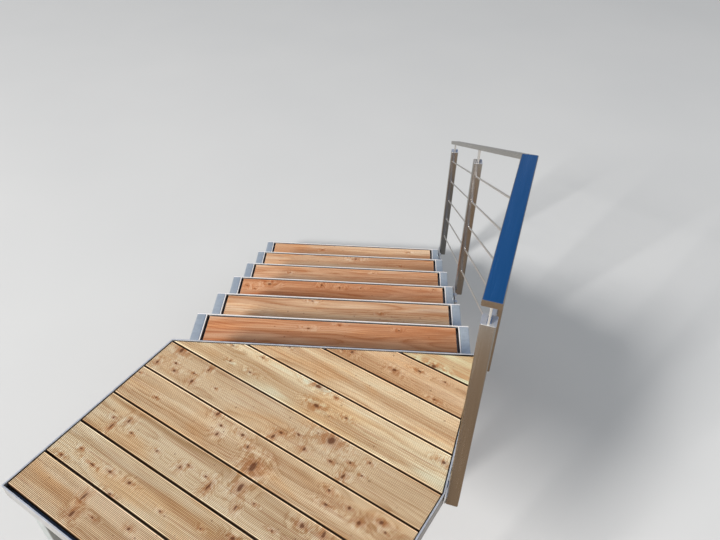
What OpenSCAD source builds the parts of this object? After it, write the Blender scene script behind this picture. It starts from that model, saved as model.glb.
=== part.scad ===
// Wooden deck stairs: six timber treads in stepped steel stringers, below an angled
// timber landing in a steel edge frame on four legs, with a stainless railing on the right.
// Until they are placed, pieces are drawn about the middle of the landing's front edge:
// X runs along the treads, Y down the flight, and Z is 0 at the walking surface of the landing.

/* [Flight] */
// Width of the flight over both stringers
flight_w = 1200; // [1000:10:1400]
// Height of each step
riser = 177; // [165:1:185]
// Level distance from one nosing to the next
going = 317; // [312:1:325]
// Width of a stringer's box section
stringer_w = 40; // [30:1:60]
// Depth of a stringer's box section
stringer_d = 60; // [50:1:80]

/* [Landing] */
// Width of the landing along its boards
landing_w = 1204; // [1100:1:1300]
// Depth of the landing across its boards, on its short side
landing_depth = 765; // [600:5:900]
// Angle between the landing's boards and the treads
landing_turn = 30; // [20:1:35]

/* [Timber] */
// Width of a decking board
board_w = 143; // [140:1:146]
// Thickness of a decking board
board_t = 27; // [24:1:30]
// Gap between two boards on the landing
deck_gap = 5.5; // [4:0.5:7]
// Gap between the boards of a tread, and in front of and behind them
tread_gap = 7; // [4:1:7]
// Gap between the ends of a tread's boards and the steel beside them
end_gap = 12; // [5:1:16]
// Gap between the landing's boards and the steel at their ends
deck_end_gap = 4; // [3:1:10]
// Gap between the steel beside the house and the landing's first board
house_gap = 13; // [5:1:15]
// How far the timber lies below the steel edges
board_drop = 2; // [1:1:4]

/* [Steel frames] */
// Thickness of the upright bars round the landing and the treads
bar_t = 5; // [4:1:8]
// Height of the upright bars
bar_h = 60; // [50:1:70]
// Width of the ledge under the ends of the landing's boards, bar included
ledge_w = 45; // [35:1:55]
// Thickness of the ledges and of the bearers under the treads
ledge_t = 6; // [5:1:8]
// Width of a bearer under the tread's boards
bearer_w = 40; // [30:1:50]
// Thickness of the flat behind each tread
rear_t = 5; // [4:1:6]
// Width of a joist under the landing
joist_w = 40; // [30:1:50]

/* [Legs and feet] */
// Side of a leg's square section
leg_w = 50; // [40:1:55]
// Distance from the end of the house edge to the middle of its leg
leg_inset = 140; // [100:5:300]
// Distance from the side of the flight to the middle of a front leg
front_inset = 250; // [230:5:270]
// Side of a leg's foot plate
foot_w = 130; // [110:5:150]
// Thickness of every foot plate
foot_t = 10; // [8:1:12]
// Distance between the anchor holes of a leg's foot plate
foot_holes = 90; // [80:5:110]
// Radius of every anchor hole
hole_r = 6.5; // [5:0.5:7]
// Length of a stringer's foot plate along the flight
toe_l = 120; // [110:5:150]
// Width of a stringer's foot plate
toe_w = 110; // [100:5:120]

/* [Railing] */
// Height of the handrail's top over the landing and over the line of the nosings
rail_h = 900; // [850:10:1000]
// Width of the handrail
rail_w = 50; // [40:1:60]
// Thickness of the handrail
rail_t = 20; // [15:1:30]
// Distance from the edge of the flight to the middle of the railing
rail_off = 32; // [28:1:45]
// Length of the level handrail
level_l = 662; // [600:1:700]
// How far the sloped handrail runs past the lower post's middle, measured level
rail_tail = 25; // [25:1:80]
// Side of a post's square section
post_w = 40; // [35:1:42]
// Height of the posts over the landing and over the line of the nosings
post_h = 800; // [700:10:820]
// How far the posts reach below the walking surface they stand beside
post_drop = 40; // [35:5:80]
// Thickness of the tongue between a post and the handrail
tongue_t = 6; // [4:1:8]
// Length of a post's mounting plate
plate_l = 135; // [115:5:180]
// Height of a post's mounting plate
plate_h = 36; // [30:1:50]
// Thickness of a post's mounting plate
plate_t = 4; // [3:1:6]
// How much nearer the handrail comes to the line of the nosings at the lower post
rail_fall = 30; // [0:5:40]
// Radius of an infill rod
rod_r = 4; // [3:0.5:6]
// Height of the lowest rod over the landing and over the line of the nosings
rod_first = 122; // [100:1:150]
// Vertical distance between the infill rods
rod_pitch = 149; // [130:1:150]
// Number of infill rods
rod_count = 5; // [3:1:5]

/* [Hidden] */
$fn = 48;
STEEL = "#b4bcc4";
STAINLESS = "#c9ccd0";
TREAD_WOOD = "#c98b5c";
DECK_WOOD = "#cfa679";

treads = 6;
deck_h = (treads + 1) * riser;
inner_w = flight_w - 2 * (stringer_w + bar_t);
// Height of the underside of the boards
under_boards = -board_drop - board_t;

// Unit vectors along the landing's boards and across them, towards the flight
along = [cos(landing_turn), -sin(landing_turn)];
across = [sin(landing_turn), cos(landing_turn)];

// Outline of the landing, anticlockwise from the corner by the house and the short side
front_left = [-flight_w / 2, 0];
front_right = [flight_w / 2, 0];
house_left = front_left - across * landing_depth;
house_right = house_left + along * landing_w;
rail_corner = front_left + along * landing_w;
OUTLINE = [house_left, house_right, rail_corner, front_right, front_left];

// Slope of the flight, and the turns of the level handrail and of the landing's edge beside it
slope = atan2(riser, going);
rail_turn = landing_turn / 2;
edge_turn = atan2(front_right[0] - rail_corner[0], front_right[1] - rail_corner[1]);

// Where the handrail bends, and the places of the posts
bend = [flight_w / 2 + rail_off, 0];
corner_post_at = 30;
upper_post_at = level_l - 40;
middle_post_y = 3 * going;
lower_post_y = treads * going + 12;
rail_end_y = lower_post_y + rail_tail;
rail_slope = atan(riser / going + rail_fall / lower_post_y);

// The origin is at the middle of the whole outline, on the ground
x_min = house_left[0];
x_max = bend[0] + rail_w / 2;
y_min = house_right[1];
y_max = rail_end_y;
ORIGIN = [-(x_min + x_max) / 2, -(y_min + y_max) / 2, deck_h];

function edge_dir(p, i) = let (e = p[(i + 1) % len(p)] - p[i]) e / norm(e);
function left_of(v) = [-v[1], v[0]];

// The point where the line through a along u meets the line through b along v
function meet(a, u, b, v) = a + u * cross(b - a, v) / cross(u, v);

// An anticlockwise outline moved inwards by t
function inset(p, t) = [
    for (i = [0 : len(p) - 1])
        let (j = (i + len(p) - 1) % len(p), u = edge_dir(p, j), v = edge_dir(p, i))
            meet(p[j] + left_of(u) * t, u, p[i] + left_of(v) * t, v)
];

// The part of a convex outline whose points reach at least d along n
function clip(p, n, d) = [
    for (i = [0 : len(p) - 1])
        let (a = p[i], b = p[(i + 1) % len(p)], da = n * a - d, db = n * b - d)
            each concat(da >= 0 ? [a] : [], (da >= 0) != (db >= 0) ? [a + (b - a) * da / (da - db)] : [])
];

// The part of a convex outline that lies from d0 to d1 along n, measured from the house corner
function strip(p, n, d0, d1) = clip(clip(p, n, n * house_left + d0), -n, -(n * house_left + d1));

// Height of the line through the nosings
function nosing_line(y) = -y * riser / going;

// Height of the sloped handrail's top
function rail_top(y) = rail_h - y * tan(rail_slope);

// A plate or bar with an outline in plan, from height z up by h
module slab(p, z, h) {
    translate([0, 0, z])
        linear_extrude(h)
            polygon(p);
}

// The stepped outline of a stringer, as distances down the flight and heights
function step_top() = [
    for (i = [1 : treads])
        each [[i * going - bar_t, -i * riser], [i * going - bar_t, -(i + 1) * riser]]
];
function step_under() = [
    for (i = [treads : -1 : 1])
        let (y = i * going - bar_t - stringer_d)
            each [[y, i == treads ? -deck_h : -(i + 1) * riser - stringer_d], [y, -i * riser - stringer_d]]
];

// A box section folded into steps, which rises to the landing's front edge and has a foot plate
module stringer(side) {
    top = [[0, -bar_h], [0, -riser]];
    under = [[-stringer_d, -riser - stringer_d], [-stringer_d, -bar_h]];
    x = side * (flight_w / 2 - stringer_w / 2);
    toe_y = treads * going - bar_t - toe_l;
    color(STEEL)
        difference() {
            union() {
                translate([x - stringer_w / 2, 0, 0])
                    rotate([90, 0, 90])
                        linear_extrude(stringer_w)
                            polygon(concat(top, step_top(), step_under(), under));
                translate([side * (flight_w - toe_w) / 2 - toe_w / 2, toe_y, -deck_h])
                    cube([toe_w, toe_l, foot_t]);
            }
            for (y = [25, toe_l - 25])
                translate([side * (flight_w / 2 - toe_w + 28), toe_y + y, -deck_h - 1])
                    cylinder(r = hole_r, h = foot_t + 2);
        }
}

// The steel of one tread: a front bar over the full width, two side bars, a rear flat and three bearers
module tread_frame(i) {
    rear_h = board_t + ledge_t;
    bearer_pitch = inner_w / 2 - bearer_w / 2;
    color(STEEL)
        translate([0, i * going, -i * riser])
            union() {
                translate([-flight_w / 2, -bar_t, -bar_h])
                    cube([flight_w, bar_t, bar_h]);
                for (x = [-inner_w / 2 - bar_t, inner_w / 2])
                    translate([x, -going, -bar_h])
                        cube([bar_t, going - bar_t / 2, bar_h]);
                translate([-inner_w / 2 - bar_t / 2, -going, under_boards - ledge_t])
                    cube([inner_w + bar_t, rear_t, rear_h]);
                for (x = [-1 : 1])
                    translate([x * bearer_pitch - bearer_w / 2, -going, under_boards - ledge_t])
                        cube([bearer_w, going - bar_t / 2, ledge_t]);
            }
}

// The two boards of one tread
module tread_boards(i) {
    l = inner_w - 2 * end_gap;
    color(TREAD_WOOD)
        for (k = [0, 1])
            translate([-l / 2, i * going - bar_t - (k + 1) * (tread_gap + board_w), -i * riser + under_boards])
                cube([l, board_w, board_t]);
}

// One side of the landing's edge frame: an angle, mitred at both ends, with its ledge inside
module edge_angle(i) {
    j = (i + 1) % len(OUTLINE);
    a = inset(OUTLINE, bar_t);
    b = inset(OUTLINE, ledge_w);
    color(STEEL)
        union() {
            slab([OUTLINE[i], OUTLINE[j], a[j], a[i]], -bar_h, bar_h);
            slab([OUTLINE[i], OUTLINE[j], b[j], b[i]], under_boards - ledge_t, ledge_t);
        }
}

// A joist across the boards, notched at its ends to pass under the ledges
module joist(i) {
    at = landing_w * i / 4;
    color(STEEL)
        difference() {
            slab(strip(inset(OUTLINE, bar_t), along, at - joist_w / 2, at + joist_w / 2), -bar_h, bar_h + under_boards);
            difference() {
                slab(inset(OUTLINE, 0), under_boards - ledge_t, 2 * ledge_t);
                slab(inset(OUTLINE, ledge_w), under_boards - 2 * ledge_t, 4 * ledge_t);
            }
        }
}

// One board of the landing, cut to the outline
module deck_board(i) {
    from = bar_t + house_gap + (i - 1) * (board_w + deck_gap);
    color(DECK_WOOD)
        slab(strip(inset(OUTLINE, bar_t + deck_end_gap), across, from, from + board_w), under_boards, board_t);
}

// A leg with its foot plate and four anchor holes
module leg() {
    color(STEEL)
        difference() {
            union() {
                translate([-leg_w / 2, -leg_w / 2, -deck_h])
                    cube([leg_w, leg_w, deck_h + under_boards - ledge_t]);
                translate([-foot_w / 2, -foot_w / 2, -deck_h])
                    cube([foot_w, foot_w, foot_t]);
            }
            for (x = [-1, 1], y = [-1, 1])
                translate([x * foot_holes / 2, y * foot_holes / 2, -deck_h - 1])
                    cylinder(r = hole_r, h = foot_t + 2);
        }
}

module front_leg(side) {
    translate([side * (flight_w / 2 - front_inset), -bar_t - leg_w / 2, 0])
        leg();
}

module house_leg(distance) {
    translate(concat(house_left + along * distance + across * (bar_t + leg_w / 2), [0]))
        rotate([0, 0, -landing_turn])
            leg();
}

// A square post with a tongue up to the handrail. Its mounting plate runs along the steel at the
// distance gap, from the post towards dir, and is bolted to it through two spacers.
module post(top, foot, tongue_top, gap, dir) {
    spacer_r = 11;
    plate_y = (dir * (plate_l - post_w) - plate_l) / 2;
    color(STAINLESS)
        union() {
            translate([-post_w / 2, -post_w / 2, foot])
                cube([post_w, post_w, top - foot]);
            translate([-tongue_t / 2, 2 - post_w / 2, top - 5])
                cube([tongue_t, post_w - 4, tongue_top - top + 5]);
            translate([-post_w / 2 - plate_t, plate_y, foot])
                cube([plate_t + 1, plate_l, plate_h]);
            for (y = [40, 95])
                translate([-post_w / 2 - gap, dir * y, foot + plate_h / 2])
                    rotate([0, 90, 0])
                        cylinder(r = spacer_r, h = gap - plate_t / 2);
        }
}

// Holes for the infill rods, each r wide
module level_rods(r, from, to) {
    for (k = [1 : rod_count])
        translate([0, from, rod_first + (k - 1) * rod_pitch])
            rotate([-90, 0, 0])
                cylinder(r = r, h = to - from);
}

module sloped_rods(r, from, to) {
    for (k = [1 : rod_count])
        translate([0, from, rod_first + (k - 1) * rod_pitch + nosing_line(from)])
            rotate([-90 - slope, 0, 0])
                cylinder(r = r, h = (to - from) / cos(slope));
}

// Places its children on the line of the level handrail, at a distance before the bend
module on_level(distance) {
    translate([bend[0], bend[1], 0])
        rotate([0, 0, -rail_turn])
            translate([0, -distance, 0])
                children();
}

module at_bend() {
    translate([bend[0], 0, 0])
        children();
}

// From a level post, at a distance before the bend, to the landing's edge beside it
function level_gap(distance) = rail_off * cos(rail_turn) - post_w / 2 - distance * sin(rail_turn - edge_turn);

rod_seat = 15;
rod_play = 0.3;

module level_post(distance, dir) {
    on_level(distance)
        post(post_h, -post_drop, rail_h - rail_t, level_gap(distance), dir);
}

module sloped_post(y, step) {
    difference() {
        translate([bend[0], y, 0])
            post(post_h + nosing_line(y), -step * riser - post_drop, rail_top(y), rail_off - post_w / 2, -1);
        rail_underside(y);
        at_bend()
            sloped_rods(rod_r + rod_play, y - post_w, step == treads ? y - post_w / 2 + rod_seat : y + post_w);
    }
}

// Everything above the underside of the sloped handrail near one post
module rail_underside(y) {
    translate([bend[0] - rail_w, y, rail_top(y) - rail_t / cos(rail_slope)])
        rotate([-rail_slope, 0, 0])
            translate([0, -100, 0])
                cube([2 * rail_w, 200, 60]);
}

module post_upper() {
    difference() {
        level_post(upper_post_at, 1);
        on_level(upper_post_at)
            level_rods(rod_r + rod_play, post_w / 2 - rod_seat, post_w);
    }
}

module post_corner() {
    difference() {
        level_post(corner_post_at, -1);
        on_level(corner_post_at)
            level_rods(rod_r + rod_play, -post_w, -post_w / 2 + rod_seat);
        at_bend()
            sloped_rods(rod_r + rod_play, -corner_post_at + 5, post_w);
    }
}

// The level handrail, cut at the bend on the line that halves its turn in plan
module handrail_level() {
    half = rail_w / 2;
    cut = half * tan(rail_turn / 2);
    color(STAINLESS)
        on_level(0)
            slab([[-half, -level_l], [half, -level_l], [half, -cut], [-half, cut]], rail_h - rail_t, rail_t);
}

// The sloped handrail, whose upper end meets the cut of the level one corner to corner
module handrail_sloped() {
    half = rail_w / 2;
    cut = half * tan(rail_turn / 2);
    upper = [for (z = [rail_h - rail_t, rail_h]) each [[-half, cut, z], [half, -cut, z]]];
    lower = [
        for (s = [rail_t, 0], x = [-half, half])
            [x, rail_end_y - s * sin(rail_slope), rail_top(rail_end_y) - s * cos(rail_slope)]
    ];
    color(STAINLESS)
        at_bend()
            polyhedron(points = concat(upper, lower),
                       faces = [[0, 2, 3, 1], [4, 5, 7, 6], [0, 1, 5, 4], [2, 6, 7, 3], [0, 4, 6, 2], [1, 3, 7, 5]]);
}

module rods_level() {
    color(STAINLESS)
        on_level(0)
            level_rods(rod_r, -upper_post_at + post_w / 2 - rod_seat, -corner_post_at - post_w / 2 + rod_seat);
}

module rods_sloped() {
    color(STAINLESS)
        at_bend()
            sloped_rods(rod_r, -corner_post_at + 5, lower_post_y - post_w / 2 + rod_seat - 1);
}

module place() {
    translate(ORIGIN)
        children();
}

place() stringer(-1);  // left_stringer
place() stringer(1);  // right_stringer
for (i = [1 : treads]) {
    place() tread_frame(i);
    place() tread_boards(i);
}
place() edge_angle(0);  // house_edge
place() edge_angle(1);  // side_edge
place() edge_angle(2);  // railing_edge
place() edge_angle(3);  // front_edge
place() edge_angle(4);  // left_edge
for (i = [1 : 3])
    place() joist(i);
for (i = [1 : 9])
    place() deck_board(i);
place() front_leg(-1);  // leg_front_left
place() front_leg(1);  // leg_front_right
place() house_leg(leg_inset);  // leg_house_left
place() house_leg(landing_w - leg_inset);  // leg_house_right
place() post_upper();
place() post_corner();
place() sloped_post(middle_post_y, 3);  // post_middle
place() sloped_post(lower_post_y, treads);  // post_lower
place() handrail_level();
place() handrail_sloped();
place() rods_level();
place() rods_sloped();
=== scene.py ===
# %% [markdown]
# # Timber deck stairs with an angled landing
#
# The part is a straight flight of six timber treads in stepped steel stringers. It comes down from
# a small landing whose boards run at thirty degrees to the treads, and a stainless railing stands
# on its right side. The CAD model holds every size. This script gives the surfaces their finish,
# and it adds what is too small for the CAD model: grooves, welds, bolts, screws and eased edges.
#
# Each step below first says what the piece is on the real stairs, and then makes it from arrays.

import math

import bpy
import numpy as np
from mathutils import Matrix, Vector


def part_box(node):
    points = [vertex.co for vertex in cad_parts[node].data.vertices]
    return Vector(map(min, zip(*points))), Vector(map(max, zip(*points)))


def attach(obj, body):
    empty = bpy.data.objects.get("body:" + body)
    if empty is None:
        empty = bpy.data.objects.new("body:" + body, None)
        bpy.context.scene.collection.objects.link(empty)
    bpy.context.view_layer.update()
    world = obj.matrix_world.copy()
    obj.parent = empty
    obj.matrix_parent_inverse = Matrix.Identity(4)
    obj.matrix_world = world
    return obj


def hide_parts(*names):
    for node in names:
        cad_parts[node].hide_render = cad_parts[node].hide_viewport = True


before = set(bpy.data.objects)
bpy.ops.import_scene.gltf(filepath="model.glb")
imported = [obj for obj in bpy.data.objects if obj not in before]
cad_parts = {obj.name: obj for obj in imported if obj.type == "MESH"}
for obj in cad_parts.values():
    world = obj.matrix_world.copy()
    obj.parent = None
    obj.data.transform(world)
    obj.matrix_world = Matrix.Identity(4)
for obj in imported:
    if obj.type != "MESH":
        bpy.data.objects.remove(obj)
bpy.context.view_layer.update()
rng = np.random.default_rng(41)
print(len(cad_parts), "nodes in the frame")

# %% [markdown]
# ## The frame's own places
#
# The stairs are set out from the middle of the landing's front edge, at the walking surface:
# X runs along the treads, Y down the flight and Z up. That point and the step's height and depth
# are read from the frame, and the sections of the steel are the ones that such stairs are made of.

# %% Sizes, in metres
def compass(turn):
    """Two unit vectors in plan, to the side and ahead, turned clockwise as seen from above."""
    return np.array([[math.cos(turn), -math.sin(turn), 0], [math.sin(turn), math.cos(turn), 0]])


EAST, DOWN_FLIGHT, UP = np.eye(3)
front_low, front_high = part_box("front_edge")
HERE = np.array([(front_low.x + front_high.x) / 2, front_high.y, front_high.z])
DECK = HERE[2]
HALF = (front_high.x - front_low.x) / 2
first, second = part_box("tread_boards_1")[1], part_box("tread_boards_2")[1]
RISER, GOING = first.z - second.z, second.y - first.y
TREADS = 6
TURN = math.radians(30)
ALONG, ACROSS = compass(TURN)[:, :2]
BAR, BAR_H = 0.005, 0.060
STRINGER_W, STRINGER_D = 0.040, 0.060
LEG, BOX_R = 0.050, 0.004
POST, POST_R = 0.040, 0.0042
PLATE_T, PLATE_H, PLATE_L = 0.004, 0.036, 0.135
TONGUE_T = 0.006
ROD = 0.004
RAIL_W, RAIL_T, RAIL_R = 0.050, 0.020, 0.003
FOOT_T = 0.010
print("step", round(RISER, 4), "going", round(GOING, 4), "landing at", round(DECK, 3))

# %% [markdown]
# ## From arrays to meshes
#
# Nearly every piece here is a section carried along a line: a tube, a board, a rod or a weld. So
# one helper turns a stack of rings into a closed mesh. The rings are an array of shape
# (stations, points, 3), and the faces come from index arithmetic on the whole grid at once.
# Beside its points a shell keeps a `place` for each of them: how far along and how far round it
# lies. Grain and brush marks follow that place, so they run along a piece whichever way it points.

# %% Helpers for shells
def ring_faces(stations, points, strip_caps):
    """Quads between neighbouring rings, and the two caps. With strip_caps a cap is a ladder of
    quads between the first half of the ring and the second, and otherwise it is one face."""
    s, p = np.meshgrid(np.arange(stations - 1), np.arange(points), indexing="ij")
    here, after = s * points + p, s * points + (p + 1) % points
    faces = np.stack([here, after, after + points, here + points], -1).reshape(-1, 4).tolist()
    last = (stations - 1) * points
    if strip_caps:
        a = np.arange(points // 2 - 1)
        b = points - 1 - a
        ladder = np.stack([a, b, b - 1, a + 1], -1)
        faces += ladder.tolist()
        faces += (ladder[:, ::-1] + last).tolist()
    else:
        faces.append(list(range(points))[::-1])
        faces.append(list(range(last, last + points)))
    return faces


def shell(rings, place=None, strip_caps=False):
    """One closed shell: (points, faces, place). Without a place of its own it gets the distance
    along its middle line, the distance round its ring, and nought."""
    m, n = rings.shape[:2]
    if place is None:
        middle = rings.mean(1)
        s = np.concatenate([[0], np.cumsum(np.linalg.norm(np.diff(middle, axis=0), axis=1))])
        step = np.linalg.norm(np.roll(rings, -1, 1) - rings, axis=2).max(0)
        t = np.concatenate([[0], np.cumsum(step)[:-1]])
        place = np.zeros((m, n, 3))
        place[..., 0], place[..., 1] = s[:, None], t
    return rings.reshape(-1, 3), ring_faces(m, n, strip_caps), place.reshape(-1, 3)


def signed_volume(points, faces):
    """Sum of the volumes between the middle and a fan of each face: positive when it faces out."""
    from_middle = points - points.mean(0)
    total = 0.0
    for size in {len(face) for face in faces}:
        p = from_middle[np.array([face for face in faces if len(face) == size])]
        total += (p[:, :1] * np.cross(p[:, 1:-1], p[:, 2:])).sum()
    return total / 6


def set_up(thing, **settings):
    """Sets several properties of a node, a modifier or a lamp, and returns it."""
    for key, value in settings.items():
        setattr(thing, key, value)
    return thing


def add_object(name, data):
    """Puts a mesh, a lamp or a camera into the scene."""
    obj = bpy.data.objects.new(name, data)
    bpy.context.scene.collection.objects.link(obj)
    return obj


def make_piece(name, shells, material, replaces=(), dip=None):
    """Joins shells into one object at the origin, which rides on the frame. A shell whose rings
    turn the wrong way round would be inside out, so its volume's sign is looked at first. Boards
    come with the dip of their points, and their place is called face."""
    points, faces, place, shift = [], [], [], 0
    for p, f, q in shells:
        if signed_volume(p, f) < 0:
            f = [face[::-1] for face in f]
        points.append(p)
        place.append(q)
        faces += [[i + shift for i in face] for face in f]
        shift += len(p)
    mesh = bpy.data.meshes.new(name)
    mesh.from_pydata(np.concatenate(points), [], faces)
    place = np.concatenate(place).astype(np.float32)
    layer = mesh.attributes.new("place" if dip is None else "face", "FLOAT_VECTOR", "POINT")
    layer.data.foreach_set("vector", place.ravel())
    if dip is not None:
        layer = mesh.attributes.new("dip", "FLOAT", "POINT")
        layer.data.foreach_set("value", dip.astype(np.float32))
    mesh.materials.append(material)
    mesh.shade_smooth()
    mesh.set_sharp_from_angle(angle=math.radians(35))
    mesh.update()
    obj = add_object(name, mesh)
    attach(obj, "root")
    if replaces:
        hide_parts(*replaces)
    return obj


# %% [markdown]
# ## Sections and how they are carried
#
# A square tube has rounded corners, because it is rolled from strip. Its section is a rectangle
# whose corners are quarter circles. `carry` puts a section on each station of a line: its first
# number goes along the station's side vector and its second along its up vector. A mitred corner
# is one station whose vectors lie in the mitre, so they are longer than one.

# %% Sections
CORNER_STEPS, EASE_STEPS = 4, 3


def rounded_rectangle(width, height, radius):
    """Points of a rectangle about nought: the corner's middle plus radius times (cos, sin)."""
    reach = [width / 2 - radius, height / 2 - radius]
    middles = np.array([(1, 1), (-1, 1), (-1, -1), (1, -1)]) * reach
    turn = np.linspace(0, math.pi / 2, CORNER_STEPS + 1) + np.arange(4)[:, None] * math.pi / 2
    return (middles[:, None] + radius * np.stack([np.cos(turn), np.sin(turn)], -1)).reshape(-1, 2)


def circle(radius, steps):
    """Points of a circle about nought: radius times (cos, sin)."""
    turn = np.arange(steps) * 2 * math.pi / steps
    return radius * np.stack([np.cos(turn), np.sin(turn)], -1)


def unit(vectors):
    """Vectors made one long."""
    return vectors / np.linalg.norm(vectors, axis=-1, keepdims=True)


def lay(section, middle, side, up):
    """Points in space: middle + side * section x + up * section y."""
    return middle + section[..., :1] * side + section[..., 1:] * up


def carry(section, centres, sides, ups):
    """Rings of a section, for all stations of a line at once."""
    return lay(section, *(np.asarray(v, float)[:, None] for v in (centres, sides, ups)))


def bar(start, end, section, side, ease=0.001):
    """A straight bar from start to end, whose end edges are rounded by ease. side is the way of
    the section's first number. Near an end the section draws in by ease * (1 - sin a) while the
    bar has come ease * (1 - cos a)."""
    start, end, side = (np.asarray(v, float) for v in (start, end, side))
    length = np.linalg.norm(end - start)
    way, side = (end - start) / length, unit(side)
    a = np.linspace(0, math.pi / 2, EASE_STEPS + 1)
    inset, ahead = ease * (1 - np.sin(a)), ease * (1 - np.cos(a))
    along = np.concatenate([ahead, length - ahead[::-1]])
    draw = np.concatenate([inset, inset[::-1]])
    rings = section * (1 - draw[:, None] / np.abs(section).max(0))[:, None]
    return shell(carry(rings, start + along[:, None] * way, [side], [np.cross(way, side)]))


def stair(points):
    """Moves points from the stairs' own setting-out point to the frame's origin."""
    return np.asarray(points, float) + HERE


# %% [markdown]
# ## Node helpers
#
# Materials are graphs of small nodes. A `Wire` stands for what comes out of a node. Wires add and
# multiply like numbers, and each such step is a node of its own, so a formula reads as it is.

# %% Node helpers
class Wire:
    """One output of a node. It works as a number, or as a vector if that is what it carries."""

    def __init__(self, socket):
        self.socket = socket
        self.tree = socket.id_data

    def maths(self, operation, *others, clamp=False):
        """A Math node, or a Vector Math node, with this wire as its first input."""
        inputs = enumerate((self, *others))
        if self.socket.type == "VECTOR":
            output = "Value" if operation in ("LENGTH", "DOT_PRODUCT") else 0
            return make_node(self.tree, "VectorMath", output, inputs, operation=operation)
        return make_node(self.tree, "Math", 0, inputs, operation=operation, use_clamp=clamp)

    def __add__(self, other):
        return self.maths("ADD", other)

    def __sub__(self, other):
        return self.maths("SUBTRACT", other)

    def __mul__(self, other):
        return self.maths("MULTIPLY", other)

    def __truediv__(self, other):
        return self.maths("DIVIDE", other)


def feed(socket, value):
    """Links a wire to a socket, or sets a plain value. A colour comes without its alpha."""
    if isinstance(value, Wire):
        socket.id_data.links.new(value.socket, socket)
    elif socket.type == "RGBA":
        socket.default_value = (*value, 1)
    else:
        socket.default_value = value


def make_node(tree, kind, output, inputs=(), **settings):
    """Makes a shader node, feeds its inputs by name or number, and returns one output."""
    made = set_up(tree.nodes.new(f"ShaderNode{kind}"), **settings)
    for key, value in dict(inputs).items():
        feed(made.inputs[key], value)
    return Wire(made.outputs[output])


def blend(factor, a, b, kind="MIX"):
    """Mixes two colours."""
    return make_node(
        factor.tree, "Mix", 2, {0: factor, 6: a, 7: b},
        data_type="RGBA", blend_type=kind, clamp_factor=True,
    )


def ramp(value, low, high, to_low=0.0, to_high=1.0):
    """Takes low..high to to_low..to_high with a smooth start and end."""
    inputs = enumerate((value, low, high, to_low, to_high))
    return make_node(value.tree, "MapRange", 0, inputs, interpolation_type="SMOOTHSTEP")


def noise(vector, scale, detail=2.0, roughness=0.5, twist=0.0):
    """Smooth noise, 0 to 1 about a half."""
    inputs = {"Vector": vector, "Scale": scale, "Detail": detail}
    inputs |= {"Roughness": roughness, "Distortion": twist}
    return make_node(vector.tree, "TexNoise", 0, inputs)


def cells(vector, scale, dimensions="3D"):
    """Voronoi cells: the distance to the nearest seed, and a random colour for its cell."""
    distance = make_node(
        vector.tree, "TexVoronoi", "Distance", {"Vector": vector, "Scale": scale},
        voronoi_dimensions=dimensions,
    )
    return distance, Wire(distance.socket.node.outputs["Color"])


def channels(wire):
    """The three numbers of a vector or colour."""
    first = make_node(wire.tree, "SeparateXYZ", 0, {0: wire})
    return [Wire(socket) for socket in first.socket.node.outputs]


def vector_of(x, y, z):
    """A vector from three numbers, the first of which is a wire."""
    return make_node(x.tree, "CombineXYZ", 0, enumerate((x, y, z)))


def attribute(tree, label, output="Vector"):
    """A value that the mesh keeps for each of its points."""
    return make_node(tree, "Attribute", output, attribute_name=label)


def position(tree, output="Object"):
    """The place that is shaded, from the object's origin."""
    return make_node(tree, "TexCoord", output)


SOCKETS = {"colour": "NodeSocketColor", "value": "NodeSocketFloat", "vector": "NodeSocketVector"}


def new_group(name, takes, gives):
    """An empty node group with named sockets. takes maps a name to (kind, default), and comes back
    with a wire for each. gives maps a name to a kind, and comes back as the sockets to feed."""
    tree = bpy.data.node_groups.new(name, "ShaderNodeTree")
    for label, (kind, default) in takes.items():
        socket = tree.interface.new_socket(label, in_out="INPUT", socket_type=SOCKETS[kind])
        if default is not None:
            socket.default_value = default
    for label, kind in gives.items():
        tree.interface.new_socket(label, in_out="OUTPUT", socket_type=SOCKETS[kind])
    taken = {socket.name: Wire(socket) for socket in tree.nodes.new("NodeGroupInput").outputs}
    return tree, taken, tree.nodes.new("NodeGroupOutput").inputs


def use_group(tree, group, **values):
    """Places a group in a material and returns its outputs by name."""
    placed = set_up(tree.nodes.new("ShaderNodeGroup"), node_tree=group)
    for label, value in values.items():
        feed(placed.inputs[label.replace("_", " ")], value)
    return {socket.name: Wire(socket) for socket in placed.outputs}


def new_material(name, metallic=0.0):
    """A material with one Principled BSDF, its tree and the shader's inputs."""
    material = bpy.data.materials.new(name)
    material.use_nodes = True
    shader = material.node_tree.nodes["Principled BSDF"].inputs
    feed(shader["Metallic"], metallic)
    return material, material.node_tree, shader


def bump(shader, height, distance, strength):
    """Turns a height into the shader's normal."""
    inputs = {"Strength": strength, "Distance": distance, "Height": height}
    feed(shader["Normal"], make_node(height.tree, "Bump", 0, inputs))


# %% [markdown]
# ## Shared effect: worn edges
#
# Zinc, steel and timber all show their edges: zinc rubs thin, a rail polishes, and a board's
# arris bleaches. The Bevel node gives the normal that an edge of a given radius would have. Where
# it parts from the real normal there is an edge, and noise breaks that line up.

# %% Edge wear and crevice groups
def build_edge_wear():
    """Mask of the edges that are up to Radius round."""
    takes = {"Radius": ("value", 0.002), "Breakup": ("value", 0.5)}
    tree, takes, gives = new_group("edge wear", takes, {"Mask": "value"})
    rounded = make_node(tree, "Bevel", 0, {"Radius": takes["Radius"]}, samples=4)
    real = make_node(tree, "NewGeometry", "Normal")
    edge = ramp(rounded.maths("DOT_PRODUCT", real), 0.995, 0.88)
    patch = ramp(noise(position(tree), 55, 3.0, 0.6), 0.35, 0.65)
    broken = takes["Breakup"] * (patch - 1.0) + 1.0
    feed(gives["Mask"], edge.maths("MULTIPLY", broken, clamp=True))
    return tree


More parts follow.
